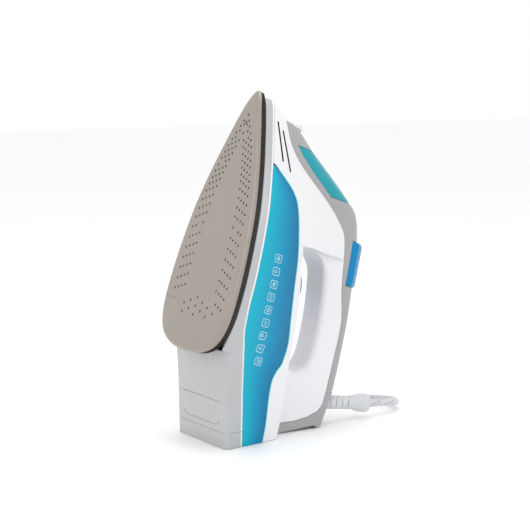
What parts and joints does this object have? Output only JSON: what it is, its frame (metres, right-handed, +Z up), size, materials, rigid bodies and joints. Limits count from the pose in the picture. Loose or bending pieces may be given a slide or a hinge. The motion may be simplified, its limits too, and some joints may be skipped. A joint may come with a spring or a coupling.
{
  "type": "clothes iron",
  "caption": "Steam iron standing on its heel: pointed ceramic soleplate with steam holes, blue side panels, handle with thumb keys, water lid, dial and braided cord.",
  "frame": {"origin": "on the floor under the middle of the heel, where the iron stands", "axes": "+X towards the iron's left side, +Y towards the handle and cord, +Z up towards the nose"},
  "size_m": [0.218, 0.2455, 0.3044],
  "materials": {
    "sole": "satin ceramic coat",
    "aluminium": "as cast",
    "steel": "bright",
    "brass": "bright",
    "black": "matt",
    "silver": "satin silver",
    "blue": "gloss, turquoise to blue",
    "white": "soft gloss",
    "grey": "satin",
    "clear_blue": "clear tinted plastic",
    "clear": "clear plastic",
    "hose": "silicone",
    "cord_white": "woven braid",
    "white_rubber": "matt",
    "live": "matt",
    "neutral": "matt",
    "red": "clear red plastic",
    "teal": "satin, knurled"
  },
  "bodies": {
    "iron": {"chamber_cover": "steel", "chamber_screw_front": "steel", "chamber_screw_left": "steel", "chamber_screw_right": "steel", "cord": "cord_white", "cord_clamp": "black", "cord_coil": "cord_white", "cover_screw": "steel", "filler_funnel": "white", "heat_skirt": "black", "heater_casting": "aluminium", "heating_element": "steel", "heel_cover": "grey", "heel_screw_left": "steel", "heel_screw_right": "steel", "lid_pin": "steel", "live_wire": "live", "lower_housing": "silver", "main_housing": "white", "neutral_wire": "neutral", "pilot_lamp": "clear", "pilot_lens": "red", "plug_body": "white_rubber", "plug_pin_left": "brass", "plug_pin_right": "brass", "rear_cover": "grey", "side_panel_left": "blue", "side_panel_right": "blue", "soleplate": "sole", "spray_hose": "hose", "spray_nozzle": "clear", "spray_pump_body": "white", "spray_spring": "steel", "steam_hose": "hose", "steam_pump_body": "white", "steam_spring": "steel", "terminal_block": "white", "thermal_fuse": "steel", "thermostat": "steel", "top_cover": "grey", "valve_seat": "brass", "water_tank": "clear"},
    "lid": {"water_lid": "clear_blue"},
    "dial": {"temperature_dial": "teal", "dial_shaft": "steel"},
    "spray_key": {"spray_button": "blue", "spray_piston": "brass"},
    "steam_key": {"steam_button": "blue", "steam_piston": "brass"},
    "slider": {"steam_slider": "blue"},
    "valve": {"valve_rod": "steel"},
    "guard": {"cord_guard": "white_rubber"}
  },
  "joints": [
    {"name": "lid_hinge", "type": "hinge", "parent": "iron", "child": "lid", "pos_m": [0, 0.12143, 0.20451], "axis": [-1, 0, 0], "range_deg": [0, 80]},
    {"name": "dial_turn", "type": "hinge", "parent": "iron", "child": "dial", "pos_m": [0, 0.05244, 0.13387], "axis": [0, 0.9943, -0.1068], "range_deg": [0, 250]},
    {"name": "spray_press", "type": "slide", "parent": "iron", "child": "spray_key", "axis": [0, -0.9494, 0.314], "range_m": [0, 0.0035], "stiffness_N_per_m": 500, "springref_m": -0.002, "deforming": ["spray_spring"]},
    {"name": "steam_press", "type": "slide", "parent": "iron", "child": "steam_key", "axis": [0, -0.9494, 0.314], "range_m": [0, 0.0035], "stiffness_N_per_m": 500, "springref_m": -0.002, "deforming": ["steam_spring"]},
    {"name": "steam_slide", "type": "slide", "parent": "iron", "child": "slider", "axis": [0, -0.0929, 0.9957], "range_m": [0, 0.005]},
    {"name": "valve_lift", "type": "slide", "parent": "iron", "child": "valve", "axis": [0, 0.9494, -0.314], "range_m": [0, 0.003]},
    {"name": "guard_tilt", "type": "hinge", "parent": "iron", "child": "guard", "pos_m": [0, 0.0915, 0.0208], "axis": [1, 0, 0], "range_deg": [0, 18]}
  ],
  "couplings": [
    {"joint": "valve_lift", "follows": "steam_slide", "ratio": 0.6}
  ]
}
